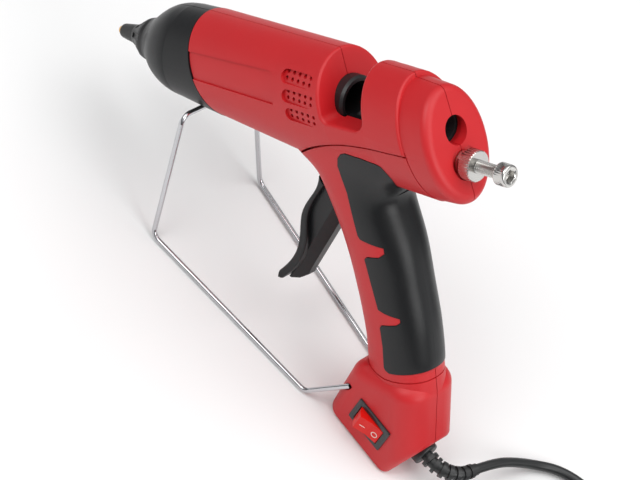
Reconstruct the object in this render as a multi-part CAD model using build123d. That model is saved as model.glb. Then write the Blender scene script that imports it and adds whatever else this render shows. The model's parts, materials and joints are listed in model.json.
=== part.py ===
from build123d import *
import math
import os

# Hot-melt glue gun standing on its foot and its wire stand.
# Most pieces are drawn in the barrel frame (x rearwards along the glue stick, y to the gun's
# right, z up from the stick axis, origin at the stick hole in the rear face) and then pitched
# nose-down onto the table plane. Foot, stand, switch and cord are drawn in the table frame.
# Millimetres throughout.

# ---------------------------------------------------------------- driving dimensions
TILT = 38.2            # nose-down pitch of the barrel on the table, degrees
TABLE = -164.7         # table level below the stick hole, table frame
X_MID = 43.9631          # shift that centres the standing gun on x
SEAM = 0.17            # half width of the gap between the two housing halves

STICK_R = 6.2          # stick hole radius, for 11.2 mm sticks
BARREL_W = 21.0        # barrel half width
BARREL_TOP = 23.1      # barrel top above the stick axis
WALL = 2.4             # shell wall
NOSE_SPLIT_X, NOSE_SPLIT_A = -138.7, 16.0    # nose / barrel parting plane
FACE_X, FACE_A = -58.75, 12.7                # rear face of the barrel, ahead of the feed window
COLLAR_X, BLOCK_A = -36.0, 16.0              # front face of the rear block
STEP_X = -15.0                               # step between rear block and rear cap
WINDOW_FLOOR = -3.0
FOOT_W = 17.3          # half width of the foot
STAND_R = 1.2          # stand wire radius

TRIG_P = (-62.0, -32.0)      # trigger pivot (x, z)
TRIG_WEB, TRIG_PAD = 7.2, 10.0   # half widths of the trigger's web and finger plate
LEVER_P = (-43.0, -36.0)     # feed lever pivot
LEVER_U = (-33.0, -14.5)     # lever tip in the carriage notch

SCREW_Z = -13.76       # adjuster screw axis
M6_R = 2.95
NUT_R, NUT_X0, NUT_XK, NUT_X1 = 6.88, 2.75, 5.6, 11.2    # collar from X0, knurled head from XK
HEAD_X0, HEAD_X1, HEAD_R = 22.9, 28.9, 5.0

SW_X, SW_Z = 53.4, -147.8    # rocker switch centre on the left side of the foot, table frame
CORD_R = 2.3
COIL_C = (158.0, 34.0)       # coil centre on the table
COIL_LIFT = 0.7

os.makedirs("parts", exist_ok=True)
rad = math.radians
NODES = {}


def to_table(s):
    return Pos(X_MID, 0, -TABLE) * Rot(0, -TILT, 0) * s


def shift(s):
    return Pos(X_MID, 0, -TABLE) * s


def put_b(name, s):
    NODES[name] = to_table(s)


def put_t(name, s):
    NODES[name] = shift(s)


def t2b(s):
    """table-frame solid to barrel frame"""
    return Rot(0, TILT, 0) * s


def b2t(x, z):
    """barrel-frame side-view point to the table frame"""
    c, s = math.cos(rad(TILT)), math.sin(rad(TILT))
    return (x * c - z * s, x * s + z * c)


def tt2b(X, Z):
    c, s = math.cos(rad(TILT)), math.sin(rad(TILT))
    return (X * c + Z * s, -X * s + Z * c)


# ---------------------------------------------------------------- drawing helpers
def sec(x0, w, zt, zb, zc=0.0, delta=0.0):
    """closed section, half ellipse above and below its widest line, in a leaning plane"""
    d = rad(delta)
    pl = Plane(origin=(x0 - zc * math.tan(d), 0, zc), x_dir=(0, 1, 0),
               z_dir=(math.cos(d), 0, math.sin(d)))
    t, b = (zt - zc) / math.cos(d), (zc - zb) / math.cos(d)
    e = [EllipticalCenterArc((0, 0), w, t, 0, arc_size=180),
         EllipticalCenterArc((0, 0), w, b, 180, arc_size=180)]
    return pl * make_face(Curve() + e)


def lean_block(x0, delta, ahead, s=320):
    """everything ahead of, or behind, the leaning plane x = x0 - z tan(delta)"""
    d = rad(delta)
    pl = Plane(origin=(x0, 0, 0), x_dir=(0, 1, 0), z_dir=(math.cos(d), 0, math.sin(d)))
    return pl * Pos(0, 0, -s / 2 if ahead else s / 2) * Box(s, s, s)


SIDE = Plane(origin=(0, 0, 0), x_dir=(1, 0, 0), z_dir=(0, -1, 0))


def plate(pts, half_w, y=0.0, r=0.0):
    """side-view outline (x, z) pulled out to both sides of y"""
    w = Polyline(*pts, close=True)
    f = make_face(w)
    if r > 0:
        f = fillet(f.vertices(), r)
    return Pos(0, y, 0) * extrude(SIDE * f, half_w, both=True)


def splate(pts, half_w, y=0.0):
    """smooth closed side-view outline pulled out to both sides of y"""
    f = make_face(Spline(*pts, periodic=True))
    return Pos(0, y, 0) * extrude(SIDE * f, half_w, both=True)


def cyl_y(x, z, r, y0, y1):
    return Pos(x, (y0 + y1) / 2, z) * Rot(90, 0, 0) * Cylinder(r, abs(y1 - y0))


def cyl_x(x0, x1, r, y=0.0, z=0.0):
    return Pos((x0 + x1) / 2, y, z) * Rot(0, 90, 0) * Cylinder(r, abs(x1 - x0))


def cyl_z(z0, z1, r, x=0.0, y=0.0):
    return Pos(x, y, (z0 + z1) / 2) * Cylinder(r, abs(z1 - z0))


def rev_x(pts):
    """profile (x, r) turned about the stick axis"""
    f = make_face(Polyline(*[(p[0], p[1]) for p in pts], close=True))
    return revolve(f, Axis.X)


def box(x0, x1, y0, y1, z0, z1):
    return Pos((x0 + x1) / 2, (y0 + y1) / 2, (z0 + z1) / 2) * Box(x1 - x0, y1 - y0, z1 - z0)


def tube(path, r):
    p0 = path @ 0
    t0 = path % 0
    return sweep(Plane(origin=p0, z_dir=t0) * Circle(r), path=path)


# ---------------------------------------------------------------- housing forms
def barrel_depth(x):
    return 21.5 + 0.131 * (x + 157)


def body(o=0.0, front=-165.0, back=0.0):
    """barrel, bridge under the feed window and rear block as one form"""
    return loft([sec(front, BARREL_W - o, BARREL_TOP - o, -barrel_depth(front) + o),
                 sec(FACE_X + 0.7, BARREL_W - o, BARREL_TOP - o, -barrel_depth(FACE_X) + o, 0, FACE_A),
                 sec(COLLAR_X - 0.7, 19.4 - o, 21.5 - o, -34.4 + o, -4, BLOCK_A),
                 sec(STEP_X + back, 19.5 - o, 21.3 - o, -34.7 + o, -6, BLOCK_A)], ruled=True)


def cap(o=0.0):
    return loft([sec(STEP_X - 2, 18.6 - o, 19.4 - o, -33.0 + o, -6, BLOCK_A),
                 sec(0 - o, 18.2 - o, 18.4 - o, -31.6 + o, -6, BLOCK_A)], ruled=True)


# handle sections: height, front, rear, half width, fullness
HANDLE = [(-6, -84, -12, 17.6, 2.8), (-16, -86.5, -12.5, 17.3, 2.7), (-26, -90, -20, 16.6, 2.5),
          (-29, -84.5, -25, 16.4, 2.45), (-32, -80, -29, 16.3, 2.4), (-38, -75.2, -33.2, 16.2, 2.35),
          (-47, -71.0, -32.3, 16.0, 2.3), (-60, -66.3, -28.2, 15.6, 2.25), (-80, -61.5, -25.1, 15.2, 2.2),
          (-100, -58.3, -22.7, 15.0, 2.2), (-111, -57.5, -22.3, 15.0, 2.2), (-121, -57.3, -22.9, 15.0, 2.2)]
HANDLE_END = -132.0    # lower end of the handle, inside the foot


def handle_sec(z, front, rear, ay, n, o=0.0, count=28):
    c, ax, ay = (front + rear) / 2, (rear - front) / 2 - o, ay - o
    pts = []
    for i in range(count):
        t = 2 * math.pi * i / count
        ct, st = math.cos(t), math.sin(t)
        pts.append((c + ax * math.copysign(abs(ct) ** (2 / n), ct),
                    ay * math.copysign(abs(st) ** (2 / n), st)))
    return Pos(0, 0, z) * make_face(Spline(*pts, periodic=True))


def handle_stub(o=0.0):
    return extrude(handle_sec(*HANDLE[-1], o=o), amount=HANDLE_END - HANDLE[-1][0], dir=(0, 0, 1))


def handle(o=0.0):
    return loft([handle_sec(*h, o=o) for h in HANDLE])


# foot in the table frame: sloping back that carries on the handle, undercut rear end
FOOT_FRONT_TOP, FOOT_FRONT_MID, FOOT_FRONT_LOW = (28.9, -130.6), (30.0, -150.0), (31.0, TABLE)
FOOT_REAR_TOP, FOOT_REAR_MID, FOOT_REAR_LOW = (61.4, -114.0), (77.5, -141.5), (72.4, TABLE)


def on_line(e, p, q, tol=0.03):
    d = (q[0] - p[0], q[1] - p[1])
    n = math.hypot(*d)
    return all(abs(-(v.X - p[0]) * d[1] / n + (v.Z - p[1]) * d[0] / n) < tol for v in (e @ 0, e @ 0.5, e @ 1))


def foot(o, r_back, r_front, r_top, r_rear, r_low):
    k = (FOOT_REAR_MID[0] - FOOT_REAR_TOP[0]) / (FOOT_REAR_MID[1] - FOOT_REAR_TOP[1])
    w, low = FOOT_W - o, TABLE + o
    ft = (FOOT_FRONT_TOP[0] + o, FOOT_FRONT_TOP[1] - o * 0.6)
    fm, fl = (FOOT_FRONT_MID[0] + o, FOOT_FRONT_MID[1]), (FOOT_FRONT_LOW[0] + o, low)
    rt = (FOOT_REAR_TOP[0] - o * 1.15 + o * 0.9, FOOT_REAR_TOP[1] - o * 2.4)
    re = (rt[0] + k * (low - rt[1]), low)
    s = extrude(SIDE * make_face(Polyline(ft, fm, fl, re, rt, close=True)), w, both=True)
    edge = [e for e in s.edges() if abs(abs(e.center().Y) - w) < 1e-3]
    s = fillet([e for e in edge if on_line(e, re, rt)], r_back)
    s = fillet([e for e in s.edges() if abs(abs(e.center().Y) - w) < 1e-3
                and (on_line(e, ft, fm) or on_line(e, fm, fl))], r_front)
    s = fillet([e for e in s.edges() if on_line(e, ft, rt)], r_top)
    rm, rl = (FOOT_REAR_MID[0] - o, FOOT_REAR_MID[1]), (FOOT_REAR_LOW[0] - o, low)
    slope = (rl[0] - rm[0]) / (rl[1] - rm[1])
    far = (rm[0] + slope * 8, rm[1] + 8)
    s = s - extrude(SIDE * make_face(Polyline(far, rl, (rl[0], low - 5), (140, low - 5), (140, far[1]), close=True)),
                    60, both=True)
    if r_rear:
        s = fillet([e for e in s.edges() if on_line(e, far, rl) and e.center().Z > low + 3], r_rear)
    if r_low:
        s = fillet([e for e in s.edges() if on_line(e, fl, re)], r_low)
    return s


foot_out = foot(0, 12.5, 7.5, 7.0, 4.0, 2.0)
foot_in = foot(WALL, 10.0, 5.0, 4.6, 0, 0)
foot_b, foot_in_b = t2b(foot_out), t2b(foot_in)
print("foot", foot_out.is_valid, foot_in.is_valid, round(foot_out.volume), round(foot_in.volume), flush=True)

# rear edge of the rear block and of the rear cap are rounded
bd = body()
bd = fillet([f for f in bd.faces() if f.center().X > -18 and f.normal_at(f.center()).X > 0.9][0].edges(), 1.0)
cp = cap()
cp = fillet([f for f in cp.faces() if f.normal_at(f.center()).X > 0.9][0].edges(), 4.0)

# the upper body overhangs the handle by a small step along this line
SADDLE = [(-97, -42), (-90, -33), (-84, -27.2), (-76.1, -21.9), (-71.0, -19.2), (-62.8, -15.7), (-52.7, -12.5),
          (-46.6, -11.2), (-40.8, -10.4), (-30.4, -9.5), (-23.3, -9.0), (-14.5, -8.3), (-4, -7.6)]
INSET, BEVEL = 1.3, (0.7, 0.4)     # depth of the step; height and depth of the bevel on its edge


def saddle_band(top, low):
    a, b = [(x, z + top) for x, z in SADDLE], [(x, z + low) for x, z in SADDLE]
    f = make_face(Curve() + [Spline(*a), Polyline(a[-1], b[-1]), Spline(*b[::-1]), Polyline(b[0], a[0])])
    return extrude(SIDE * f, 40, both=True)


def saddle_cut(rise, depth):
    line = [(x, z + rise) for x, z in SADDLE]
    f = make_face(Curve() + [Spline(*line), Polyline(line[-1], (30, line[-1][1]), (30, -80), (-97, -80), line[0])])
    return extrude(SIDE * f, 40, both=True) - body(depth, -171.0, 9.0)


upper = bd - saddle_cut(0.0, INSET)
bevelled = upper - saddle_cut(*BEVEL)
if bevelled.is_valid and 0 < upper.volume - bevelled.volume < 12000 and len(bevelled.solids()) == 1:
    upper = bevelled
print("upper", upper.is_valid, round(bd.volume), round(upper.volume), len(upper.solids()), flush=True)
top = upper + handle()
print("top", top.is_valid, round(top.volume), len(top.solids()), flush=True)
top = top + cp
print("top", top.is_valid, round(top.volume), len(top.solids()), flush=True)
lower = handle_stub() + foot_b
outer = top + lower
cap_line = (lean_block(STEP_X + 0.65, BLOCK_A, True) & lean_block(STEP_X + 0.05, BLOCK_A, False) & box(-60, 40, -40, 40, -45, -6.6)) - cap(0.6)
outer = outer - cap_line
outer = outer - ((saddle_band(0.0, -1.1) & box(-81.0, 20, -40, 40, -60, 30)) - body(INSET + 1.1, -171.0, 9.0))
print("cap line", outer.is_valid, round(outer.volume), len(outer.solids()), flush=True)


def neck_form(o):
    return extrude(Pos(0, 0, 4) * handle_sec(*HANDLE[-1], o=o), amount=-15, dir=(0, 0, 1))


neck = (plate([(-62, -119.4), (-40, -123.9), (-10, -124.3), (-10, -124.9), (-40, -124.5), (-62, -120.0)], 40) & neck_form(-0.7)) - neck_form(0.55)
outer = outer - neck
print("outer", outer.is_valid, round(outer.volume), len(outer.solids()), flush=True)


def window(o=0.0, top=60.0):
    ta, tb = math.tan(rad(FACE_A)), math.tan(rad(BLOCK_A))
    xa, xb, fl = FACE_X - o / math.cos(rad(FACE_A)), COLLAR_X + o / math.cos(rad(BLOCK_A)), WINDOW_FLOOR - o
    pts = [(xa - top * ta, top), (xa - fl * ta, fl), (xb - fl * tb, fl), (xb - top * tb, top)]
    f = make_face(Polyline(*pts, close=True))
    low = [v for v in f.vertices() if v.Y < fl + 1]
    f = fillet(low, 4.0 + o * 0.6)
    return extrude(SIDE * f, 60, both=True)


def opened(s):
    return s - window() - lean_block(NOSE_SPLIT_X + 0.22, NOSE_SPLIT_A, True)


outer = opened(outer)
print("opened", outer.is_valid, round(outer.volume), len(outer.solids()), flush=True)
# rounded lips of the window
tb = math.tan(rad(BLOCK_A))
lip = [e for e in outer.edges() if e.length > 40 and all(abs((e @ t).X - (COLLAR_X - (e @ t).Z * tb)) < 0.02
                                                        for t in (0, 0.25, 0.5, 0.75, 1)) and (e @ 0.5).Z > 15]
outer = fillet(lip[:1], 1.2)
print("lips", outer.is_valid, round(outer.volume), len(outer.solids()), flush=True)

# ---------------------------------------------------------------- cavity and inner features
inner = body(WALL, -172.0, 4.0) + cap(WALL)
inner = inner + handle(WALL)
inner = inner + (handle_stub(WALL) + foot_in_b)
inner = inner - window(WALL)
# thicker wall behind the groove under the saddle line
inner = inner - ((saddle_band(2.0, -3.4) & box(-84, 20, -40, 40, -60, 30)) - body(WALL + 1.7, -171.0, 9.0))
print("inner", inner.is_valid, round(inner.volume), len(inner.solids()), flush=True)
shell = outer - inner
print("shell", shell.is_valid, round(shell.volume), len(shell.solids()), flush=True)

# screw places: side-view point, seat of the head on the right side
SCREWS = [(-128.0, 17.0, 5.5), (-92.0, -22.5, 7.0), (-24.0, 15.0, 6.5), (-22.0, -26.0, 5.5), (-41.0, -80.0, 8.5),
          (-40.0, -112.0, 8.5), tt2b(37.5, -157.0) + (9.0,), tt2b(66.0, -133.0) + (8.0,)]
BOSS_R, SHANK_R, SCREW_HEAD_R, SCREW_END = 3.9, 1.5, 2.9, -7.5

bosses = None
for x, z, seat in SCREWS:
    b = cyl_y(x, z, BOSS_R, -30, 30)
    bosses = b if bosses is None else bosses + b
bosses += cyl_y(*TRIG_P, 5.0, -30, -7.7) + cyl_y(*TRIG_P, 5.0, 7.7, 30)
bosses += cyl_y(*LEVER_P, 4.4, -30, -4.6) + cyl_y(*LEVER_P, 4.4, 4.6, 30)
bosses += cyl_x(-4.4, 12, 11.6, 0, SCREW_Z) - cyl_x(-60, 60, 7.2)
bosses += cyl_x(-5.6, 6, 8.4)
inlay = bosses & outer
print("inlay", round(inlay.volume), len(inlay.solids()), flush=True)
shell = shell + inlay
print("shell+", shell.is_valid, round(shell.volume), len(shell.solids()), flush=True)

# openings shared by both halves
cuts = [cyl_x(-20, 20, STICK_R), cyl_x(-20, -2.8, STICK_R + 1.0),
        cyl_x(-75, -54, 11.25),
        cyl_x(-42, -30, 8.0),
        box(-54.6, -40.2, -9.2, 9.2, -8.0, -2.0),
        cyl_x(-4.5, 3.0, 5.0, 0, SCREW_Z),
        cyl_x(2.3, 16, NUT_R + 0.42, 0, SCREW_Z)]
# trigger slot and pocket of the finger plate
cuts.append(plate([(-90, -36.0), (-70, -36.0), (-60, -38), (-52, -58), (-52, -84), (-75, -84), (-100, -60)], 8.1))
cuts.append(plate([(-90, -34.5), (-66, -34.5), (-63.5, -44), (-65, -57), (-90, -60)], 10.7))
# pins
cuts.append(cyl_y(*TRIG_P, 2.0, -11.2, 11.2))
cuts.append(cyl_y(*LEVER_P, 2.0, -11.2, 11.2))
# guide rods
cuts.append(cyl_x(-37.0, -3.2, 2.0, 8.8, 7.0) + cyl_x(-37.0, -3.2, 2.0, -8.8, 7.0))
# stand wire ends, cable entry
STAND_LOW, STAND_END = (20.9, 22.45, -163.5), (34.85, 16.11, -143.26)
for m in (1, -1):
    a, b = Vector(STAND_LOW[0], m * STAND_LOW[1], STAND_LOW[2]), Vector(STAND_END[0], m * STAND_END[1], STAND_END[2])
    d = (b - a).normalized()
    cuts.append(t2b(Plane(origin=b - d * 5.0, z_dir=d) * Cylinder(STAND_R + 0.5, 15.0)))
SEAT_X, RELIEF_Z = 74.0, -151.9
cuts.append(t2b(cyl_x(60, 90, 4.05, 0, RELIEF_Z) + cyl_x(SEAT_X, 90, 6.35, 0, RELIEF_Z)))
for c in cuts:
    shell = shell - c
print("cut", shell.is_valid, round(shell.volume), len(shell.solids()), flush=True)

# recess of the soft grip round the back of the handle
GRIP = [(-55.3, -24), (-54.4, -20), (-52.4, -17.6), (-49.7, -16.4), (-40, -16.6), (-32.5, -17.5), (-26.6, -19.4),
        (-24.9, -20.8), (-24.6, -25.8), (-28, -31.5), (-32.6, -37.0), (-20, -39.5), (-10, -42), (-10, -119.2),
        (-22, -119.5), (-30, -120.1), (-37, -120.6), (-39.1, -119.5), (-39.8, -118), (-39.5, -107.8), (-40.1, -98.4),
        (-38.8, -96.9), (-31.6, -95.6), (-29.9, -94.2), (-30.1, -92.6), (-36.9, -90.9), (-40.2, -89.8), (-42.9, -78.1),
        (-45.4, -66.4), (-43.6, -64.8), (-37.6, -64), (-35.3, -62.0), (-35.6, -59.6), (-46.7, -57.3), (-48.0, -55.7),
        (-49.9, -46.1), (-51.7, -35.8), (-53.9, -29.5)]
GRIP_DEEP, GRIP_PROUD = 1.3, 0.25
grip_block = plate(GRIP, 40)
shell = shell - (grip_block - handle(GRIP_DEEP) - body(INSET, -171.0, 9.0))
grip_in = extrude(SIDE * offset(make_face(Polyline(*GRIP, close=True)), -0.25, kind=Kind.INTERSECTION), 40, both=True)
grip = ((handle(-GRIP_PROUD) - handle(GRIP_DEEP)) & grip_in) - body(INSET - 0.15, -171.0, 9.0)
grip = max(grip.solids(), key=lambda q: q.volume)
print("grip", grip.is_valid, round(grip.volume), "shell", shell.is_valid, round(shell.volume), len(shell.solids()), flush=True)

# plain label panel on both sides of the barrel
panel = plate([(-150, 10.2), (-91, 12.3), (-88.6, 10.4), (-88.2, 4.5), (-87.0, 0.4), (-87.6, -1.6), (-150, -1.3)], 40) \
    - body(0.7, -176.0)
shell = shell - panel
# vents: three shallow slots a side, deepest at the front, with two rows of five holes each
VENTS = [(-74.3, 12.2, 18.4, 5.5, -81.0, (13.75, 11.1)), (-72.6, 4.3, 18.2, 5.7, -78.6, (6.25, 3.5)),
         (-71.0, -3.75, 18.2, 5.8, -77.2, (-1.9, -4.7))]
taper = loft([sec(-85, BARREL_W - 1.5, BARREL_TOP - 1.5, -barrel_depth(-85) + 1.5),
              sec(-61.0, BARREL_W + 0.1, BARREL_TOP + 0.1, -barrel_depth(-61) - 0.1)], ruled=True)
holes = []
for xc, zc, length, height, x0, rows in VENTS:
    slot = extrude(SIDE * Pos(xc, zc) * RectangleRounded(length, height, height / 2 - 0.05), 40, both=True) - taper
    shell = shell - slot
    for zr in rows:
        for i in range(5):
            holes.append(cyl_y(x0 + 3.6 * i, zr, 0.85, -30, 30))
shell = shell.cut(*holes)
print("vents", shell.is_valid, round(shell.volume), len(shell.solids()), flush=True)

# two halves
halves = {}
for name, y0, y1 in (("housing_left", -60, -SEAM), ("housing_right", SEAM, 60)):
    h = shell & box(-200, 60, y0, y1, -200, 60)
    h = max(h.solids(), key=lambda q: q.volume)
    halves[name] = h
screws = []
for x, z, seat in SCREWS:
    halves["housing_left"] = halves["housing_left"] - cyl_y(x, z, SHANK_R, SCREW_END - 0.4, 1)
    halves["housing_right"] = halves["housing_right"] - cyl_y(x, z, SHANK_R + 0.2, -1, 30) - cyl_y(x, z, SCREW_HEAD_R + 0.3, seat, 30)
    sc = cyl_y(x, z, SHANK_R, SCREW_END, seat) + cyl_y(x, z, SCREW_HEAD_R, seat, seat + 2.1)
    for a in (0, 90):
        sc = sc - Pos(x, seat + 1.7, z) * Rot(0, a + 20, 0) * Box(3.4, 1.6, 0.8)
    screws.append(sc)
# rocker switch cut-out in the left half
FOOT_SIDE = -FOOT_W
halves["housing_left"] = halves["housing_left"] - t2b(box(SW_X - 9.5, SW_X + 9.5, -30, -10, SW_Z - 6.05, SW_Z + 6.05))
for name, h in halves.items():
    print(name, h.is_valid, round(h.volume), len(h.solids()), flush=True)
    put_b(name, h)
put_b("housing_screws", Compound(children=screws))
put_b("grip_overmould", grip)

# ---------------------------------------------------------------- nose
NOSE = [(-125, 21.0, 23.1, -25.7), (-140, 21.0, 23.1, -23.7), (-158, 20.6, 22.4, -20.9), (-165, 20.0, 21.4, -19.6),
        (-169, 18.8, 20.0, -18.2), (-173, 17.0, 17.8, -16.3), (-177, 14.4, 15.0, -13.8), (-181, 11.7, 12.2, -11.2),
        (-184, 10.6, 10.9, -10.4)]


def nose(o=0.0):
    ss = [sec(x, w - o, t - o, b + o) for x, w, t, b in NOSE]
    return loft(ss[:3], ruled=True) + loft(ss[2:])


nose_form = nose() - lean_block(NOSE_SPLIT_X - 0.22, NOSE_SPLIT_A, False)
nose_in = nose(2.2) & box(-182.0, -100, -40, 40, -40, 40)
lip_ring = (body(WALL + 0.1, -172) - body(WALL + 1.5, -173)) & box(-150, -120, -40, 40, -40, 40)
lip_ring = lip_ring - lean_block(NOSE_SPLIT_X + 5.0, NOSE_SPLIT_A, False) - lean_block(NOSE_SPLIT_X - 3.0, NOSE_SPLIT_A, True)
lip_root = (body(WALL - 0.6, -172) - body(WALL + 1.5, -173)) & box(-160, -120, -40, 40, -40, 40)
lip_root = lip_root - lean_block(NOSE_SPLIT_X - 0.23, NOSE_SPLIT_A, False) - lean_block(NOSE_SPLIT_X - 3.5, NOSE_SPLIT_A, True)
lip_ring = lip_ring + lip_root
BAR_X, BAR_Z = tt2b(-102.0, -106.3)
NOSE_SCREWS = [(-153.0, 16.0, 4.5), (-160.0, -15.2, 4.5)]
nb = cyl_y(BAR_X, BAR_Z, 2.9, -9.6, 9.6)
for x, z, seat in NOSE_SCREWS:
    nb = nb + cyl_y(x, z, 3.2, -30, 30)
nose_sh = (nose_form - nose_in) + (nb & nose_form) + lip_ring
nose_sh = nose_sh - cyl_x(-190, -176, 10.3) - cyl_y(BAR_X, BAR_Z, STAND_R + 0.05, -30, 30)
print("nose", nose_sh.is_valid, round(nose_sh.volume), len(nose_sh.solids()), flush=True)
nh = {}
for name, y0, y1 in (("nose_cover_left", -60, -SEAM), ("nose_cover_right", SEAM, 60)):
    nh[name] = max((nose_sh & box(-220, 0, y0, y1, -60, 60)).solids(), key=lambda q: q.volume)
nscrews = []
for x, z, seat in NOSE_SCREWS:
    nh["nose_cover_left"] = nh["nose_cover_left"] - cyl_y(x, z, 1.3, -6.4, 1)
    nh["nose_cover_right"] = nh["nose_cover_right"] - cyl_y(x, z, 1.5, -1, 30) - cyl_y(x, z, 2.8, seat, 30)
    sc = cyl_y(x, z, 1.3, -6.0, seat) + cyl_y(x, z, 2.5, seat, seat + 1.8)
    for a in (0, 90):
        sc = sc - Pos(x, seat + 1.5, z) * Rot(0, a + 35, 0) * Box(2.9, 1.4, 0.7)
    nscrews.append(sc)
for name, h in nh.items():
    print(name, h.is_valid, round(h.volume), len(h.solids()), flush=True)
    put_b(name, h)
put_b("nose_screws", Compound(children=nscrews))

# ---------------------------------------------------------------- melting unit
noz = rev_x([(-208.7, 0.8), (-208.7, 1.9), (-206.9, 2.5), (-198, 3.4), (-193.5, 4.6), (-190.5, 6.2), (-184.2, 6.2),
             (-184.2, 4.5), (-176.2, 4.5), (-176.2, 2.4), (-196, 2.4), (-204, 0.8)])
put_b("nozzle", noz)
slv = rev_x([(-206.6, 2.62), (-206.6, 3.15), (-205.9, 3.4), (-197.4, 4.6), (-193.4, 6.4), (-190.6, 8.2), (-188.2, 9.6), (-186.8, 10.0),
             (-182.6, 10.0), (-182.6, 8.1), (-184.1, 8.1), (-184.1, 6.3), (-190.45, 6.3), (-193.45, 4.7), (-197.95, 3.5)])
for i in range(8):
    a = 45 * i + 22.5
    g = Rot(a, 0, 0) * Pos(0, 0, 8.71) * Rot(0, -28.5, 0) * Rot(0, 90, 0) * Cylinder(1.7, 9.5)
    slv = slv - Pos(-191.5, 0, 0) * g
put_b("nozzle_sleeve", slv)
cham = rev_x([(-182.4, 4.5), (-182.4, 8.0), (-175.5, 8.0), (-172.5, 11.5), (-84, 11.5), (-84, 8.2), (-73, 8.2), (-73, 6.2),
              (-160, 6.2), (-172, 4.5)])
lug = box(-142.0, -105, -6.5, 6.5, -18.4, -6) - cyl_x(-220, 0, 9)
cham = cham + lug - cyl_x(-140.4, -100, 3.6, 0, -13.2)
put_b("melt_chamber", cham)
put_b("heater_cartridge", cyl_x(-140.2, -107.5, 3.5, 0, -13.2))
put_b("front_bush", rev_x([(-172.0, 11.6), (-172.0, 14.4), (-170.5, 15.4), (-166.0, 15.4), (-166.0, 11.6)]))
ring = rev_x([(-90.0, 11.6), (-90.0, 13.4), (-86.0, 13.4), (-86.0, 11.6)])
put_b("chamber_clamp", ring + box(-90, -86, -3.2, 3.2, 12.6, 18.2) - box(-91, -85, -0.6, 0.6, 10, 20) - cyl_y(-88, 16, 1.3, -5, 5))
put_b("inlet_sleeve", rev_x([(-84.0 + 0.2, 8.3), (-83.8, 10.0), (-61.0, 10.0), (-61.0, 11.2), (-56.8, 11.2), (-55.5, 10.4), (-55.5, 8.9),
                             (-58.5, 7.0), (-72.6, 7.0), (-72.6, 8.3)]))
clip = rev_x([(-82.0, 10.05), (-82.0, 10.9), (-77.0, 10.9), (-77.0, 10.05)])
put_b("sleeve_clip", clip + box(-82, -77, -4, 4, 10.2, 15.0) - box(-83, -76, -3.0, 3.0, 10.95, 13.6) - box(-83, -76, -0.5, 0.5, 9, 13))

# ---------------------------------------------------------------- trigger and feed
def face_of(*segs):
    return make_face(Curve() + list(segs))


front = [(-75.2, -36.6), (-77.1, -41.9), (-83, -49.8), (-88.5, -58.1), (-91, -68.2), (-94.1, -77.5), (-100.3, -85.8),
         (-106.9, -91.8)]
groove = [(-72.6, -40.6), (-80, -49.8), (-84.9, -58.4), (-86.9, -70.2), (-92.3, -82.3), (-101.6, -92.4)]
plate_f = face_of(Spline(*front), Polyline(front[-1], (-108.1, -95.4), (-105.5, -95.6), groove[-1]), Spline(*groove[::-1]),
                  Polyline(groove[0], front[0]))
finger = extrude(SIDE * plate_f, TRIG_PAD, both=True)
web_f = face_of(Spline(*groove), Polyline(groove[-1], (-103.4, -94.9), (-99.8, -96.0), (-96.2, -94.3), (-93.7, -90.5), (-63.8, -49.7),
                                          (-57, -46), (-56, -40), (-57.5, -33), (-66.5, -33), groove[0]))
web = extrude(SIDE * web_f, TRIG_WEB, both=True)
# the web narrows towards its rear edge
back = Plane(origin=(-99.62, 0, -98.56), x_dir=(0.8062, 0, -0.5917), z_dir=(0.5917, 0, 0.8062))
for k in (1, -1):
    web = web - extrude(back * make_face(Polyline((-4.5, 7.6 * k), (3.0, 7.6 * k), (3.0, 2.2 * k), (0.1, 2.2 * k), close=True)), amount=60.0)
for s_r in (1.6, 1.0):
    try:
        fe = [e for e in finger.edges() if abs(abs(e.center().Y) - TRIG_PAD) < 1e-3 and e.length > 20]
        finger = fillet(fe, s_r)
        print("finger fillet", s_r)
        break
    except Exception as ex:
        print("finger", ex)
trig = finger + web + cyl_y(*TRIG_P, 6.0, -TRIG_WEB, TRIG_WEB) - cyl_y(*TRIG_P, 2.05, -20, 20)
print("trigger", trig.is_valid, round(trig.volume), len(trig.solids()), flush=True)
put_b("trigger", trig)
put_b("trigger_pin", cyl_y(*TRIG_P, 2.0, -11.0, 11.0))
put_b("lever_pin", cyl_y(*LEVER_P, 2.0, -11.0, 11.0))
dx, dz = LEVER_U[0] - LEVER_P[0], LEVER_U[1] - LEVER_P[1]
dl = math.hypot(dx, dz)
ux, uz = dx / dl, dz / dl
low = (-53.0, -57.0)
bar = [(low[0] + uz * 2.5, low[1] - ux * 2.5), (LEVER_U[0] + uz * 2.5, LEVER_U[1] - ux * 2.5),
       (LEVER_U[0] - uz * 2.5, LEVER_U[1] + ux * 2.5), (low[0] - uz * 2.5, low[1] + ux * 2.5)]
lever = plate(bar, 4.0) + cyl_y(*LEVER_U, 3.0, -4, 4) + cyl_y(*low, 3.6, -4, 4) + cyl_y(*LEVER_P, 4.6, -4, 4)
put_b("feed_lever", lever - cyl_y(*LEVER_P, 2.05, -10, 10))
carr = box(-18.5, -6.5, -12, 12, -8.5, 10.5) + box(-40, -12, -5.5, 5.5, -18, -8.2)
long_e = [e for e in carr.edges() if abs(e.center().X + 12.5) < 0.1 and e.length > 11 and abs(e.center().Y) > 10]
carr = fillet([e for e in long_e if e.center().Z < 0], 1.5)
carr = chamfer([e for e in carr.edges() if abs(e.center().X + 12.5) < 0.1 and e.length > 11 and abs(e.center().Y) > 10
                and e.center().Z > 9], 2.9)
carr = carr - box(-36.4, -29.6, -4.4, 4.4, -30, -9.0) - box(-41, -36.3, -10, 10, -30, -13.6) - cyl_x(-60, 20, 6.4)
for y in (-8.8, 8.8):
    carr = carr - cyl_x(-60, 20, 2.05, y, 7.0)
JAW_P = (-14.5, 8.6)
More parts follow.
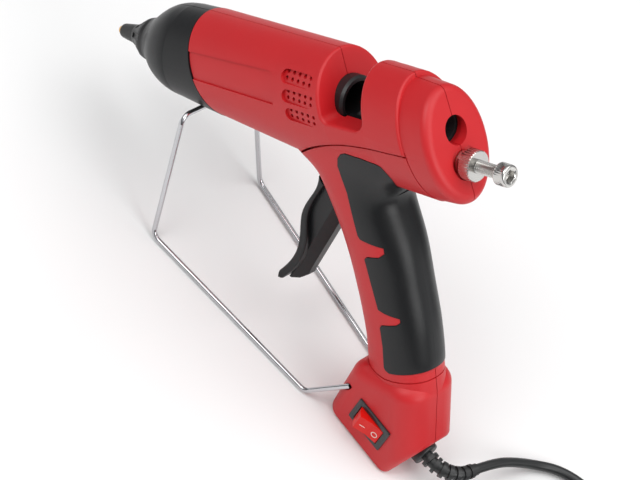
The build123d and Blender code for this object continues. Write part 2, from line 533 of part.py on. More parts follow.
carr = carr - box(-16.6, -8.6, -4.3, 4.3, 4.0, 20) - cyl_y(*JAW_P, 1.0, -6.5, 6.5)
put_b("feed_carriage", max(carr.solids(), key=lambda q: q.volume))
put_b("jaw_pin", cyl_y(*JAW_P, 1.0, -6.5, 6.5))
jaw = plate([(-16.1, 8.2), (-16.1, 10.0), (-9.2, 10.0), (-9.2, 7.1), (-10.2, 6.75), (-11.2, 7.4), (-12.2, 6.9), (-13.4, 7.3)], 3.9)
put_b("grip_jaw", jaw - cyl_y(*JAW_P, 1.03, -10, 10))
guide = (cyl_x(-55.2, -33.0, 7.7) & box(-60, -20, -10, 10, -9, -3.05)) + box(-54.3, -40.5, -8.9, 8.9, -4.6, -3.05)
put_b("stick_guide", guide - cyl_x(-70, 0, 6.5))
put_b("guide_rods", Compound(children=[cyl_x(-37.0, -3.2, 2.0, y, 7.0) for y in (-8.8, 8.8)]))


def coil_spring(x0, x1, r, wire, turns, y, z):
    h = x1 - x0 - 2 * wire
    hx = Helix(pitch=h / turns, height=h, radius=r, center=(0, 0, 0), direction=(0, 0, 1))
    s = sweep(Plane(origin=hx @ 0, z_dir=hx % 0) * Circle(wire), path=hx)
    return Pos(x0 + wire, y, z) * Rot(0, 90, 0) * s


put_b("return_springs", Compound(children=[coil_spring(-34.4, -18.9, 2.9, 0.35, 6, y, 7.0) for y in (-8.8, 8.8)]))

# ---------------------------------------------------------------- stroke adjuster
put_b("adjuster_insert", cyl_x(-4.4, 1.35, 5.0, 0, SCREW_Z) - cyl_x(-20, 20, M6_R + 0.06, 0, SCREW_Z))
put_b("stop_pad", cyl_x(-8.2, -5.0, 4.3, 0, SCREW_Z) - cyl_x(-6.6, 0, 2.0, 0, SCREW_Z))
shank = cyl_x(-5.0 + 0.0, HEAD_X0, M6_R, 0, SCREW_Z) + cyl_x(-6.5, -4.9, 1.95, 0, SCREW_Z)
head = cyl_x(HEAD_X0, HEAD_X1, HEAD_R, 0, SCREW_Z)
head = chamfer([e for e in head.edges() if abs(e.center().X - HEAD_X1) < 0.01], 0.5)
hexs = Pos(HEAD_X1 - 3.2, 0, SCREW_Z) * Rot(0, 90, 0) * extrude(RegularPolygon(2.89, 6), 6)
put_b("adjuster_screw", shank + head - hexs)
nut = cyl_x(NUT_XK, NUT_X1, NUT_R, 0, SCREW_Z)
nut = chamfer([e for e in nut.edges()], 0.45) + cyl_x(NUT_X0, NUT_XK + 0.2, 5.2, 0, SCREW_Z) - cyl_x(-20, 40, M6_R + 0.05, 0, SCREW_Z)
kn = []
for i in range(34):
    a = 2 * math.pi * i / 34
    kn.append(Pos((NUT_X0 + NUT_X1) / 2, (NUT_R + 0.05) * math.cos(a), SCREW_Z + (NUT_R + 0.05) * math.sin(a))
              * Rot(0, 90, 0) * Cylinder(0.45, 20))
nut = nut.cut(*kn)
print("nut", nut.is_valid, round(nut.volume), len(nut.solids()), flush=True)
put_b("lock_nut", nut)

# ---------------------------------------------------------------- rocker switch
ROCK, VEE = 19.0, 6.0        # tilt of the rocker to each side, slope of its two halves
ROCK_R, ROCK_H = 8.0, 4.6    # end radius and height of the bend above the axis
BZ = FOOT_SIDE - 1.0         # outer face of the bezel
AX_Y = BZ + 2.98             # rocking axis
bezel = box(SW_X - 10.5, SW_X + 10.5, BZ, FOOT_SIDE, SW_Z - 7.1, SW_Z + 7.1)
bezel = fillet([e for e in bezel.edges() if abs(e.center().Y - (BZ + FOOT_SIDE) / 2) < 0.01], 0.6)
bezel = chamfer([e for e in bezel.edges() if abs(e.center().Y - BZ) < 0.01 and e.length > 1], 0.3)
sw_body = box(SW_X - 9.45, SW_X + 9.45, FOOT_SIDE, -5.0, SW_Z - 6.0, SW_Z + 6.0)
frame_ = bezel + sw_body - box(SW_X - 7.9, SW_X + 7.9, BZ - 1, FOOT_SIDE + 1, SW_Z - 4.95, SW_Z + 4.95) \
    - box(SW_X - 8.95, SW_X + 8.95, BZ + 0.4, -6.4, SW_Z - 4.95, SW_Z + 4.95)
frame_ = frame_ - Pos(SW_X, AX_Y, SW_Z) * Cylinder(1.05, 11.7)
put_t("switch_frame", frame_)


def rocker_profile():
    k, r, h = math.tan(rad(VEE)), ROCK_R, ROCK_H
    xt = (-h * k + math.sqrt((h * k) ** 2 - (1 + k * k) * (h * h - r * r))) / (1 + k * k)
    yt = h + k * xt
    low_y = -3.2
    xl = math.sqrt(r * r - low_y ** 2)
    side = (r * 0.995, math.sqrt(r * r - (r * 0.995) ** 2))
    return face_of(Polyline((-xt, yt), (0, h), (xt, yt)), ThreePointArc((xt, yt), side, (xl, low_y)),
                   Polyline((xl, low_y), (-xl, low_y)), ThreePointArc((-xl, low_y), (-side[0], side[1]), (-xt, yt)))


rock = extrude(rocker_profile(), 4.65, both=True)
rock = Rot(180, 0, 0) * rock                      # raised faces look outwards, -Y
rock = Rot(0, 0, ROCK) * rock
rock = rock + Cylinder(1.0, 11.4)
put_t("switch_rocker", Pos(SW_X, AX_Y, SW_Z) * rock)
put_t("switch_terminals", Compound(children=[box(SW_X + x - 0.4, SW_X + x + 0.4, -5.0, 2.5, SW_Z - 2.4, SW_Z + 2.4) for x in (-5.5, 0, 5.5)]))

# ---------------------------------------------------------------- wire stand
pts = [STAND_END, STAND_LOW, (-78.9, 34.3, -163.5), (-102.0, 22.3, -106.3)]
wp = pts + [(x, -y, z) for x, y, z in pts[::-1]]
stand_path = FilletPolyline(*wp, radius=5.0)
stand = tube(stand_path, STAND_R)
print("stand", stand.is_valid, round(stand.volume, 1), round(math.pi * STAND_R ** 2 * stand_path.length, 1), flush=True)
put_t("stand_wire", stand)

# ---------------------------------------------------------------- cable entry
boot_path = FilletPolyline((78.0, 0, RELIEF_Z), (92.6, 0, RELIEF_Z), (95.55, 16.83, RELIEF_Z), radius=14.0)
boot = tube(boot_path, 2.75)
for i in range(7):
    t = 0.10 + 0.128 * i
    boot = boot + Plane(origin=boot_path @ t, z_dir=boot_path % t) * Cylinder(4.2 - 0.14 * i, 1.9)
flange = cyl_x(SEAT_X, 78.2, 6.2, 0, RELIEF_Z)
flange = fillet([e for e in flange.edges() if abs(e.center().X - 78.2) < 0.01], 1.0)
put_t("strain_relief", boot + flange + cyl_x(70.0, SEAT_X, 4.0, 0, RELIEF_Z))
EXIT = boot_path @ 1
EXIT_D = boot_path % 1
print("boot", NODES["strain_relief"].is_valid, EXIT, EXIT_D)
put_t("cord_inner", cyl_x(60.5, 70.0, CORD_R, 0, RELIEF_Z))
clampb = box(63.5, 69.2, -9, 9, RELIEF_Z + CORD_R - 0.25, RELIEF_Z + CORD_R + 2.2)
clampb = clampb - cyl_z(-170, -100, 1.6, 66.1, 6) - cyl_z(-170, -100, 1.6, 66.1, -6) - cyl_x(50, 80, CORD_R, 0, RELIEF_Z)
put_t("cord_clamp", clampb)
post = box(63.3, 69.7, -9.5, 9.5, TABLE + WALL, RELIEF_Z + CORD_R - 0.4) - cyl_x(50, 80, CORD_R + 0.02, 0, RELIEF_Z) \
    - cyl_z(-165, -100, 1.3, 66.1, 6) - cyl_z(-165, -100, 1.3, 66.1, -6)
post = post - box(50, 80, -1.6, 1.6, RELIEF_Z, RELIEF_Z + 10)
put_t("clamp_saddle", post)
put_t("clamp_screws", Compound(children=[cyl_z(-158, RELIEF_Z + CORD_R + 2.2, 1.3, 66.1, y)
                                         + cyl_z(RELIEF_Z + CORD_R + 2.2, RELIEF_Z + CORD_R + 3.9, 2.6, 66.1, y) for y in (-6, 6)]))
tb_ = box(42, 56, 3.5, 13.5, TABLE + WALL, -153.0) - cyl_z(-158, -140, 1.6, 45.5, 8.5) - cyl_z(-158, -140, 1.6, 52.5, 8.5)
put_t("terminal_block", tb_)


def b3(x, y, z):
    X, Z = b2t(x, z)
    return (X, y, Z)


wires = []
for k in (0, 1):
    p = [b3(-107.3, -1.2 + 2.4 * k, -13.2), b3(-100, -1.0 + 2.4 * k, -13.4), b3(-91, 8.9 + 2.4 * k, -15.5), b3(-80, 9.4 + 2.2 * k, -18),
         b3(-54.5 + 2.3 * k, 9.2, -21.0), b3(-52.8 + 2.3 * k, 9.2, -48), b3(-50.5 + 2.3 * k, 9.2, -78), b3(-48.0 + 2.2 * k, 9.2, -118),
         b3(-50 + 1.8 * k, 8.5, -134), (45.5 + 7.0 * k, 8.5, -148.0), (45.5 + 7.0 * k, 8.5, -157.9)]
    wires.append(tube(FilletPolyline(*p, radius=2.6), 0.9))
print("wires", [w.is_valid for w in wires])
put_t("heater_leads", Compound(children=wires))

# ---------------------------------------------------------------- supply cord, put-away coil and plug
CORD = [(EXIT.X, EXIT.Y, EXIT.Z), (97.6, 28.6, -152.6), (101.2, 41.0, -157.0), (106.5, 53.0, -161.4), (114.5, 62.5, -161.7),
        (126.0, 68.2, -161.7), (141.0, 70.4, -161.7)]
COIL_Z0 = TABLE + COIL_LIFT
COIL_R, COIL_IN = 39.05, 14.9
ENTRY = (COIL_C[0] - 6.0, COIL_C[1] + 35.6 + 0.2, -161.7)
route = CORD + [ENTRY]


def tube_radii(pts):
    rs = []
    for a, b, c in zip(pts, pts[1:], pts[2:]):
        u, v = Vector(*b) - Vector(*a), Vector(*c) - Vector(*b)
        turn = rad(u.get_angle(v))
        rs.append(0.45 * min(u.length, v.length) / math.tan(turn / 2))
    return rs


radii = tube_radii(route)
print("cord radii", [round(r, 1) for r in radii], "runs", [round((Vector(*b) - Vector(*a)).length, 1) for a, b in zip(route, route[1:])])
cord_path = FilletPolyline(*route, radius=radii)
cord = tube(cord_path, CORD_R)
coil = Pos(COIL_C[0], COIL_C[1], COIL_Z0 + 4.6) * (Cylinder(COIL_R, 9.2) - Cylinder(COIL_IN, 20))
cord = cord - Pos(COIL_C[0], COIL_C[1], COIL_Z0 + 4.6) * Cylinder(COIL_R, 30)
cord = max(cord.solids(), key=lambda q: q.volume)
print("cord", cord.is_valid, round(cord.volume, 1), round(math.pi * CORD_R ** 2 * cord_path.length, 1), round(cord_path.length, 1), flush=True)
put_t("power_cord", cord)
put_t("cord_coil", coil)
PLUG_X, PLUG_Z = 195.4, TABLE + 6.9
tail_pts = [(COIL_C[0] + 36.75, COIL_C[1] - 6.0, COIL_Z0 + 6.9), (PLUG_X + 0.1, 19.0, PLUG_Z + 0.2), (PLUG_X, 10.0, PLUG_Z)]
tr = tube_radii(tail_pts)
tail = tube(FilletPolyline(*tail_pts, radius=tr), CORD_R) - Pos(COIL_C[0], COIL_C[1], COIL_Z0 + 4.6) * Cylinder(COIL_R, 30)
tail = max(tail.solids(), key=lambda q: q.volume)
put_t("cord_tail", tail)
PLUG_W, PLUG_H = 17.5, 6.85
pl_face = Polyline((PLUG_X - 4.2, 10), (PLUG_X + 4.2, 10), (PLUG_X + 5.5, -3), (PLUG_X + PLUG_W, -15), (PLUG_X + PLUG_W, -27),
                   (PLUG_X - PLUG_W, -27), (PLUG_X - PLUG_W, -15), (PLUG_X - 5.5, -3), close=True)
pl = extrude(make_face(pl_face), PLUG_H, both=True)
pl = Pos(0, 0, PLUG_Z) * fillet(pl.edges().filter_by(Axis.Z), 2.0)
for r in (1.5, 1.0, 0.6):
    try:
        p2 = fillet([e for e in pl.edges() if abs(abs(e.center().Z - PLUG_Z) - PLUG_H) < 0.01], r)
        if p2.is_valid:
            pl = p2
            break
    except Exception as ex:
        print("plug", r, str(ex)[:60])
for x in (-9.3, 9.3):
    pl = pl - Pos(PLUG_X + x, -29, PLUG_Z) * Rot(90, 0, 0) * Cylinder(1.5, 16)
put_t("plug_body", pl)
pins = []
for x in (-9.3, 9.3):
    pn = Pos(PLUG_X + x, (-27 - 46) / 2, PLUG_Z) * Rot(90, 0, 0) * Cylinder(2.0, 19)
    pn = fillet([e for e in pn.edges() if abs(e.center().Y + 46) < 0.01], 1.2)
    pn = pn + Pos(PLUG_X + x, -24.5, PLUG_Z) * Rot(90, 0, 0) * Cylinder(1.5, 7)
    pins.append(pn)
put_t("plug_pins", Compound(children=pins))
# tie: a flat strap round the coil's section on its far side
tx0, tx1 = COIL_C[0] - COIL_R - 0.5, COIL_C[0] - COIL_IN + 0.5
tie = box(tx0, tx1, COIL_C[1] - 4, COIL_C[1] + 4, COIL_Z0 - 0.5, COIL_Z0 + 9.7)
tie = tie - (Pos(COIL_C[0], COIL_C[1], COIL_Z0 + 4.6) * (Cylinder(COIL_R + 0.02, 9.24) - Cylinder(COIL_IN - 0.02, 20)))
tie = max(tie.solids(), key=lambda q: q.volume)
put_t("coil_tie", tie)

# ---------------------------------------------------------------- write the pieces
CORD_NODES = ("strain_relief", "power_cord", "cord_coil", "cord_tail", "coil_tie", "plug_body", "plug_pins")
lo, hi = 1e9, -1e9
for name, s in NODES.items():
    bb = s.bounding_box()
    if name not in CORD_NODES:
        lo, hi = min(lo, bb.min.X), max(hi, bb.max.X)
print("x extent", round(lo, 4), round(hi, 4), "centre", round((lo + hi) / 2, 4))
for name, s in NODES.items():
    ok = all(q.is_valid for q in s.solids())
    bb = s.bounding_box()
    print(f"{name:18s} {len(s.solids())} {ok} {s.volume:10.1f}  z {bb.min.Z:.2f}")
    export_step(s, f"parts/{name}.step")
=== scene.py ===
import json
import math

import bmesh
import bpy
from mathutils import Matrix, Vector
from mathutils.bvhtree import BVHTree


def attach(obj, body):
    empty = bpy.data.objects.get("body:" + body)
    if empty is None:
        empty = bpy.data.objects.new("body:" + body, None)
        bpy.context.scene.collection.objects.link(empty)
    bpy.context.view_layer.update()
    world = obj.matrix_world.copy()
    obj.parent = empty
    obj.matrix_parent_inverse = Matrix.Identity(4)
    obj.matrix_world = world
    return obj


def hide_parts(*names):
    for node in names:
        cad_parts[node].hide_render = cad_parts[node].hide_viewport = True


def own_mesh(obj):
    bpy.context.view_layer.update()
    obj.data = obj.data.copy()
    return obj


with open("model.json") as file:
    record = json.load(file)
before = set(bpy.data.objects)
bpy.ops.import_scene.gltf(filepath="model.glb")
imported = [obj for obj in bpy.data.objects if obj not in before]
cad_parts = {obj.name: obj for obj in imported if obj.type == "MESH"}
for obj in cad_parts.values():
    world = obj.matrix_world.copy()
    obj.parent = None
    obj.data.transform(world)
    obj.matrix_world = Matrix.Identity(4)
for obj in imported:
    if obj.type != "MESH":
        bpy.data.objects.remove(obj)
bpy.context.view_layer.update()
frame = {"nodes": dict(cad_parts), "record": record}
nodes = frame["nodes"]
scene = bpy.context.scene

# ------------------------------------------------------------------ frames
TILT = math.radians(38.2)
CT, ST = math.cos(TILT), math.sin(TILT)
X_MID, TABLE = 43.9631, -164.7
MM = 0.001


def T(x, y, z):
    """table-frame point (mm, from the stick hole) to the row frame in metres"""
    return Vector(((x + X_MID) * MM, y * MM, (z - TABLE) * MM))


def B(x, y, z):
    """barrel-frame point (mm) to the row frame in metres"""
    return T(x * CT - z * ST, y, x * ST + z * CT)


# ------------------------------------------------------------------ camera
cam_data = bpy.data.cameras.new("camera")
cam = bpy.data.objects.new("camera", cam_data)
scene.collection.objects.link(cam)
cam_data.sensor_width = 36.0
cam_data.lens = 151.693
cam_data.clip_start, cam_data.clip_end = 0.01, 50.0
right = Vector((0.6128145, 0.6982712, 0.3699673))
up = Vector((-0.7507284, 0.3682719, 0.5484365))
back = Vector((0.2467089, -0.6138348, 0.7498944))
eye = Vector((0.3187283, -0.7406265, 0.9552761))
cam.matrix_world = Matrix(((right.x, up.x, back.x, eye.x), (right.y, up.y, back.y, eye.y),
                           (right.z, up.z, back.z, eye.z), (0, 0, 0, 1)))
scene.camera = cam
scene.view_settings.view_transform = "Standard"
scene.view_settings.look = "None"

# ------------------------------------------------------------------ supply cord
CORD_D = 0.0046
COIL_X, COIL_Y, COIL_Z0 = 158.0, 34.0, TABLE + 0.7
STEPS = 24
SHRINK = 0.99146


def coil_point(t):
    """one point of the two-layer coil, t turns after it enters on the north side"""
    r = 35.6 - 4.6 * t if t < 4 else 17.2 + 4.6 * (t - 4)
    k = min(1.0, max(0.0, (t - 3.75) / 0.5))
    z = COIL_Z0 + 2.3 + 4.6 * k * k * (3 - 2 * k)
    a = math.pi / 2 - 2 * math.pi * t
    return T(COIL_X + r / SHRINK * math.cos(a), COIL_Y + r / SHRINK * math.sin(a), z)


cord_points = [T(95.55, 16.83, -151.9), T(97.6, 28.6, -152.6), T(101.2, 41.0, -157.0), T(106.5, 53.0, -161.4),
               T(114.5, 62.5, -161.7), T(126.0, 68.2, -161.7), T(141.0, 70.4, -161.7), T(152.0, 69.9, -161.7)]
cord_points += [coil_point(i / STEPS) for i in range(0, int(8.25 * STEPS) + 1)]
cord_points += [T(194.75, 28.0, COIL_Z0 + 6.9), T(195.5, 19.0, TABLE + 7.1), T(195.4, 12.0, TABLE + 6.9)]

cord_data = bpy.data.curves.new("supply_cord", "CURVE")
cord_data.dimensions = "3D"
spline = cord_data.splines.new("NURBS")
spline.points.add(len(cord_points) - 1)
for p, q in zip(spline.points, cord_points):
    p.co = (q.x, q.y, q.z, 1.0)
    p.radius = CORD_D / 2
spline.order_u = 3
spline.use_endpoint_u = True
spline.resolution_u = 6
cord_data.bevel_depth = 1.0
cord_data.bevel_resolution = 6
cord_data.use_fill_caps = True
cord = bpy.data.objects.new("supply_cord", cord_data)
scene.collection.objects.link(cord)
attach(cord, "gun")
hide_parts("power_cord", "cord_coil", "cord_tail")


# ------------------------------------------------------------------ materials
def srgb(r, g, b):
    return tuple((c / 255 / 12.92) if c / 255 <= 0.04045 else ((c / 255 + 0.055) / 1.055) ** 2.4 for c in (r, g, b))


def material(name, colour, rough, metallic=0.0, vary=0.06, rough_vary=0.05, grain=1500.0, bump=0.12, depth=0.00005,
             patch=35.0, stretch=None, specular=0.5, coat=0.0, coat_rough=0.1, transmission=0.0, ior=1.5):
    """satin or bright surface: colour drifts over large patches, grain drives bump and roughness"""
    m = bpy.data.materials.new(name)
    m.use_nodes = True
    nt = m.node_tree
    nt.nodes.clear()
    out = nt.nodes.new("ShaderNodeOutputMaterial")
    bsdf = nt.nodes.new("ShaderNodeBsdfPrincipled")
    nt.links.new(bsdf.outputs["BSDF"], out.inputs["Surface"])
    tc = nt.nodes.new("ShaderNodeTexCoord")
    mp = nt.nodes.new("ShaderNodeMapping")
    if stretch:
        mp.inputs["Scale"].default_value = stretch
    nt.links.new(tc.outputs["Object"], mp.inputs["Vector"])
    big = nt.nodes.new("ShaderNodeTexNoise")
    big.inputs["Scale"].default_value = patch
    big.inputs["Detail"].default_value = 3.0
    nt.links.new(tc.outputs["Object"], big.inputs["Vector"])
    fine = nt.nodes.new("ShaderNodeTexNoise")
    fine.inputs["Scale"].default_value = grain
    fine.inputs["Detail"].default_value = 2.0
    nt.links.new(mp.outputs["Vector"], fine.inputs["Vector"])
    ramp = nt.nodes.new("ShaderNodeValToRGB")
    lo = [max(0.0, c * (1 - vary)) for c in colour]
    hi = [min(1.0, c * (1 + vary)) for c in colour]
    ramp.color_ramp.elements[0].position, ramp.color_ramp.elements[1].position = 0.3, 0.7
    ramp.color_ramp.elements[0].color = (*lo, 1)
    ramp.color_ramp.elements[1].color = (*hi, 1)
    nt.links.new(big.outputs["Fac"], ramp.inputs["Fac"])
    nt.links.new(ramp.outputs["Color"], bsdf.inputs["Base Color"])
    rr = nt.nodes.new("ShaderNodeMapRange")
    rr.inputs["From Min"].default_value, rr.inputs["From Max"].default_value = 0.3, 0.7
    rr.inputs["To Min"].default_value, rr.inputs["To Max"].default_value = rough - rough_vary, rough + rough_vary
    nt.links.new(fine.outputs["Fac"], rr.inputs["Value"])
    nt.links.new(rr.outputs["Result"], bsdf.inputs["Roughness"])
    bp = nt.nodes.new("ShaderNodeBump")
    bp.inputs["Strength"].default_value = bump
    bp.inputs["Distance"].default_value = depth
    nt.links.new(fine.outputs["Fac"], bp.inputs["Height"])
    nt.links.new(bp.outputs["Normal"], bsdf.inputs["Normal"])
    bsdf.inputs["Metallic"].default_value = metallic
    bsdf.inputs["Specular IOR Level"].default_value = specular
    bsdf.inputs["IOR"].default_value = ior
    bsdf.inputs["Coat Weight"].default_value = coat
    bsdf.inputs["Coat Roughness"].default_value = coat_rough
    bsdf.inputs["Transmission Weight"].default_value = transmission
    return m


M = {
    "red_shell": material("red_shell", srgb(194, 23, 30), 0.46, vary=0.03, rough_vary=0.04, grain=2600, bump=0.35, depth=0.00006),
    "black_nose": material("black_nose", srgb(19, 20, 22), 0.37, vary=0.08, grain=2600, bump=0.3, depth=0.00006, specular=0.34),
    "black_grip": material("black_grip", srgb(15, 16, 18), 0.36, vary=0.08, grain=3200, bump=0.3, depth=0.00005, specular=0.38),
    "silicone": material("silicone", srgb(24, 24, 26), 0.42, vary=0.1, grain=900, bump=0.12),
    "brass": material("brass", (0.72, 0.45, 0.18), 0.3, metallic=1.0, grain=1800, bump=0.1),
    "wire_chrome": material("wire_chrome", (0.56, 0.56, 0.58), 0.14, metallic=1.0, vary=0.03, rough_vary=0.03, grain=6000, bump=0.02, depth=0.00002),
    "nickel": material("nickel", (0.6, 0.59, 0.57), 0.2, metallic=1.0, vary=0.03, rough_vary=0.03, grain=7000, bump=0.03, depth=0.00002),
    "steel": material("steel", (0.48, 0.48, 0.49), 0.34, metallic=1.0, vary=0.08, grain=1600, bump=0.1),
    "aluminium": material("aluminium", (0.7, 0.71, 0.72), 0.42, metallic=1.0, vary=0.06, grain=1400, bump=0.2),
    "ceramic": material("ceramic", (0.72, 0.69, 0.62), 0.6, grain=1300, bump=0.2),
    "white_plastic": material("white_plastic", (0.66, 0.65, 0.61), 0.5, grain=1300, bump=0.12),
    "grey_plastic": material("grey_plastic", (0.035, 0.035, 0.037), 0.45, grain=1600, bump=0.15),
    "black_gloss": material("black_gloss", srgb(40, 42, 44), 0.32, vary=0.08, grain=2400, bump=0.12),
    "rocker_red": material("rocker_red", srgb(214, 18, 10), 0.34, vary=0.05, grain=900, bump=0.03, specular=0.3),
    "cord_black": material("cord_black", srgb(34, 35, 36), 0.4, vary=0.1, grain=1500, bump=0.12),
    "lead_sleeve": material("lead_sleeve", (0.55, 0.52, 0.42), 0.7, grain=2200, bump=0.3),
    "mark_white": material("mark_white", (0.75, 0.72, 0.66), 0.45, grain=1500, bump=0.05),
}
slots = {s["node"]: s["material_slot"] for s in frame["record"]["subparts"]}


def finish_mesh(o, mat, angle=32.0):
    o.data.materials.clear()
    o.data.materials.append(mat)
    for p in o.data.polygons:
        p.use_smooth = True
    o.data.set_sharp_from_angle(angle=math.radians(angle))


for n, o in nodes.items():
    o.data.materials.clear()
    o.data.materials.append(M[slots[n]])
cord_data.materials.append(M["cord_black"])


# ------------------------------------------------------------------ added pieces
def rings_to_mesh(name, rings, close_start=True, close_end=True):
    """skins a list of equal rings of points into one closed surface"""
    bm = bmesh.new()
    vs = [[bm.verts.new(p) for p in ring] for ring in rings]
    k = len(rings[0])
    for a, b in zip(vs, vs[1:]):
        for i in range(k):
            bm.faces.new((a[i], a[(i + 1) % k], b[(i + 1) % k], b[i]))
    if close_start:
        bm.faces.new(vs[0][::-1])
    if close_end:
        bm.faces.new(vs[-1])
    bmesh.ops.recalc_face_normals(bm, faces=bm.faces[:])
    me = bpy.data.meshes.new(name)
    bm.to_mesh(me)
    bm.free()
    o = bpy.data.objects.new(name, me)
    scene.collection.objects.link(o)
    return o


SCREW_Z = -13.76
SEG = 96


def ring_at(x, radius_of):
    pts = []
    for i in range(SEG):
        a = 2 * math.pi * i / SEG
        r = radius_of(x, a)
        pts.append(B(x, r * math.cos(a), SCREW_Z + r * math.sin(a)))
    return pts


def thread_r(x, a):
    """right-hand thread, 1 mm pitch, rounded crest and root"""
    ph = (x + a / (2 * math.pi)) % 1.0
    tri = abs(2 * ph - 1)
    tri = min(1.0, max(0.0, (tri - 0.12) / 0.72))
    return 2.12 + 0.8 * tri


def knurl_r(r0, depth, count):
    return lambda x, a: r0 - depth * (0.5 + 0.5 * math.cos(count * a)) ** 1.5


def flat(r):
    return lambda x, a: r


def hexagon(r):
    def f(x, a):
        b = (a + math.pi / 6) % (math.pi / 3) - math.pi / 6
        return r * math.cos(math.pi / 6) / math.cos(b)
    return f


rings = [ring_at(-6.5, flat(1.9)), ring_at(-4.9, flat(1.9)), ring_at(-4.9, flat(2.4))]
n_x = int((22.0 + 4.6) / 0.1)
rings += [ring_at(-4.6 + 0.1 * i, thread_r) for i in range(n_x + 1)]
rings += [ring_at(22.1, flat(2.5)), ring_at(22.85, flat(2.7)), ring_at(22.9, flat(4.4)), ring_at(23.25, flat(4.88)),
          ring_at(23.4, flat(4.93))]
rings += [ring_at(23.55, knurl_r(4.97, 0.22, 32)), ring_at(27.3, knurl_r(4.97, 0.22, 32))]
rings += [ring_at(27.45, flat(4.93)), ring_at(28.1, flat(4.9)), ring_at(28.6, flat(4.72)), ring_at(28.85, flat(4.4)), ring_at(28.9, flat(4.1)),
          ring_at(28.9, flat(3.25)), ring_at(28.55, hexagon(2.9)), ring_at(25.7, hexagon(2.88)), ring_at(25.0, flat(0.05))]
screw = rings_to_mesh("adjuster_screw_turned", rings)
finish_mesh(screw, M["nickel"], 38)
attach(screw, "adjuster")
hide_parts("adjuster_screw")

# marks on the two halves of the rocker
SW_X, SW_Z, AX_Y = 53.4, -147.8, -17.3 - 1.0 + 2.98
VX, VY = 1.49761, -4.34939


def prism(name, outline, depth, origin, u, v, n):
    """thin printed mark: outline loops in (u, v), raised along n"""
    bm = bmesh.new()
    for loop, holes in outline:
        lo_v = [bm.verts.new(origin + u * a * MM + v * b * MM - n * 0.02 * MM) for a, b in loop]
        hi_v = [bm.verts.new(origin + u * a * MM + v * b * MM + n * depth * MM) for a, b in loop]
        k = len(loop)
        if not holes:
            bm.faces.new(hi_v)
            bm.faces.new(lo_v[::-1])
            for i in range(k):
                bm.faces.new((lo_v[i], lo_v[(i + 1) % k], hi_v[(i + 1) % k], hi_v[i]))
        else:
            lo_h = [bm.verts.new(origin + u * a * MM + v * b * MM - n * 0.02 * MM) for a, b in holes]
            hi_h = [bm.verts.new(origin + u * a * MM + v * b * MM + n * depth * MM) for a, b in holes]
            for i in range(k):
                j = (i + 1) % k
                bm.faces.new((hi_v[i], hi_v[j], hi_h[j], hi_h[i]))
                bm.faces.new((lo_v[j], lo_v[i], lo_h[i], lo_h[j]))
                bm.faces.new((lo_v[i], lo_v[j], hi_v[j], hi_v[i]))
                bm.faces.new((lo_h[j], lo_h[i], hi_h[i], hi_h[j]))
    bmesh.ops.recalc_face_normals(bm, faces=bm.faces[:])
    me = bpy.data.meshes.new(name)
    bm.to_mesh(me)
    bm.free()
    o = bpy.data.objects.new(name, me)
    scene.collection.objects.link(o)
    me.materials.append(M["mark_white"])
    return o


d_i, n_i = Vector((-0.906308, -0.422618, 0)), Vector((0.422618, -0.906308, 0))
d_o, n_o = Vector((0.974370, 0.224951, 0)), Vector((0.224951, -0.974370, 0))
zz = Vector((0, 0, 1))
bend = T(SW_X + VX, AX_Y + VY, SW_Z - 0.7)
mark_on = prism("switch_mark_on", [([(-1.35, -0.19), (1.35, -0.19), (1.35, 0.19), (-1.35, 0.19)], None)], 0.04,
                bend + d_i * 3.0 * MM, d_i, zz, n_i)
ring_o = [(1.62 * math.cos(2 * math.pi * i / 48), 1.62 * math.sin(2 * math.pi * i / 48)) for i in range(48)]
ring_h = [(1.24 * math.cos(2 * math.pi * i / 48), 1.24 * math.sin(2 * math.pi * i / 48)) for i in range(48)]
mark_off = prism("switch_mark_off", [(ring_o, ring_h)], 0.04, bend + d_o * 3.6 * MM, d_o, zz, n_o)
for o in (mark_on, mark_off):
    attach(o, "rocker")



# the line under the upper body ends at the rear cap; behind the cap's edge its groove is closed flush with the flank
def flank(name, node, side):
    me = nodes[node].data
    tree = BVHTree.FromPolygons([v.co for v in me.vertices], [tuple(q.vertices) for q in me.polygons])

    def skin(x, z):
        hit = tree.ray_cast(B(x, side * 40.0, z), Vector((0, -side, 0)))[0]
        return abs(hit.y) / MM if hit is not None else 0.0

    sections = []
    for i in range(43):
        x = -12.4 + 0.2 * i if i < 42 else -4.02
        line = -8.3 + (x + 14.5) * 0.0667
        hi, lo = line + 0.7, line - 1.8
        y_hi, y_lo = skin(x, hi), skin(x, lo)
        steps = [hi + (lo - hi) * j / 250 for j in range(251)]
        level = [y_hi + (y_lo - y_hi) * j / 250 for j in range(251)]
        sunk = [j for j in range(251) if level[j] - skin(x, steps[j]) > 0.2]
        if len(sunk) < 60:
            continue
        first, last = sunk[0], sunk[-1]
        cut = [first + (last - first) * k / 4 for k in range(5)]
        pts = [(hi + (lo - hi) * c / 250, y_hi + (y_lo - y_hi) * c / 250) for c in cut]
        sections.append([B(x, side * (y + 0.005), z) for z, y in pts] + [B(x, side * (y - 0.5), z) for z, y in pts[::-1]])
    o = rings_to_mesh(name, sections)
    finish_mesh(o, M[slots[node]], 40)
    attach(o, "gun")


flank("cap_flank_left", "housing_left", -1)
flank("cap_flank_right", "housing_right", 1)


# return springs on the guide rods: they close up in front of the carriage
def spring_rings(y, x0=-34.4, x1=-18.9, z=7.0, r=2.9, wire=0.35, turns=6):
    n, h = turns * 30, x1 - x0 - 2 * wire
    rings = []
    for i in range(n + 1):
        a, x = 2 * math.pi * turns * i / n, x0 + wire + h * i / n
        ring = []
        for j in range(10):
            b = 2 * math.pi * j / 10
            q = r + wire * math.cos(b)
            ring.append(B(x + wire * math.sin(b), y + q * math.cos(a), z + q * math.sin(a)))
        rings.append(ring)
    return rings


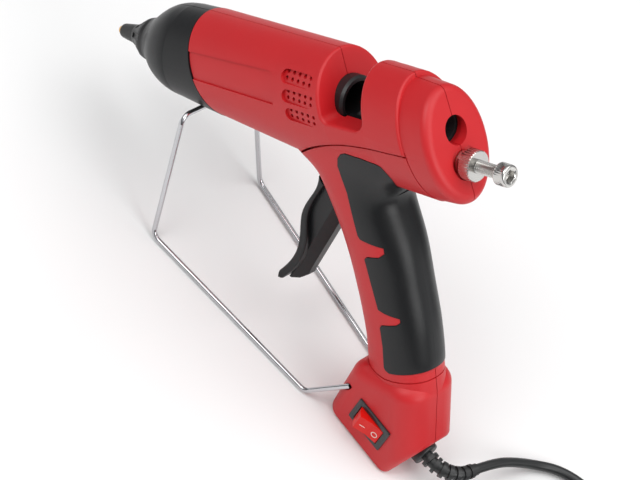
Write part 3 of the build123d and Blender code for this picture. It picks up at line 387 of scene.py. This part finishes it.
springs = rings_to_mesh("return_springs_wound", spring_rings(-8.8))
second = rings_to_mesh("return_spring_second", spring_rings(8.8))
bm = bmesh.new()
bm.from_mesh(springs.data)
bm.from_mesh(second.data)
bm.to_mesh(springs.data)
bm.free()
bpy.data.objects.remove(second, do_unlink=True)
finish_mesh(springs, M[slots["return_springs"]], 50)
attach(springs, "gun")
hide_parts("return_springs")
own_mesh(springs)

# ------------------------------------------------------------------ stage and light
bpy.ops.mesh.primitive_plane_add(size=8, location=(0, 0, -0.0004))
floor = bpy.context.object
floor.name = "floor"
floor.data.materials.append(material("floor_white", (0.86, 0.86, 0.86), 0.85, vary=0.01, rough_vary=0.03, grain=60, bump=0.02, patch=3, specular=0.2))

world = bpy.data.worlds.new("studio")
scene.world = world
world.use_nodes = True
wn = world.node_tree
wn.nodes.clear()
wo = wn.nodes.new("ShaderNodeOutputWorld")
bg = wn.nodes.new("ShaderNodeBackground")
tc = wn.nodes.new("ShaderNodeTexCoord")
sep = wn.nodes.new("ShaderNodeSeparateXYZ")
wr = wn.nodes.new("ShaderNodeValToRGB")
wr.color_ramp.elements[0].position, wr.color_ramp.elements[1].position = 0.02, 0.8
wr.color_ramp.elements[0].color = (0.08, 0.08, 0.085, 1)
wr.color_ramp.elements[1].color = (1.0, 1.0, 1.0, 1)
mid_band = wr.color_ramp.elements.new(0.4)
mid_band.color = (0.55, 0.55, 0.56, 1)
wn.links.new(tc.outputs["Generated"], sep.inputs["Vector"])
wn.links.new(sep.outputs["Z"], wr.inputs["Fac"])
wn.links.new(wr.outputs["Color"], bg.inputs["Color"])
bg.inputs["Strength"].default_value = 0.66
wn.links.new(bg.outputs["Background"], wo.inputs["Surface"])


def area(name, loc, target, size, power, size_y=None):
    d = bpy.data.lights.new(name, "AREA")
    d.energy = power
    d.size = size
    if size_y:
        d.shape = "RECTANGLE"
        d.size_y = size_y
    o = bpy.data.objects.new(name, d)
    scene.collection.objects.link(o)
    o.location = loc
    o.rotation_mode = "QUATERNION"
    o.rotation_quaternion = (Vector(target) - Vector(loc)).to_track_quat("-Z", "Y")
    return o


area("key", (-0.5, -0.9, 1.5), (0, 0, 0.1), 1.0, 11.0)
area("top", (0.35, 0.35, 1.7), (0, 0, 0.1), 1.4, 12.0)
area("rear", (1.3, -0.1, 0.9), (0, 0, 0.12), 0.8, 7.0)
area("card", (1.15, 0.86, 0.28), (0.06, 0, 0.16), 0.6, 1.1)

bpy.context.view_layer.update()
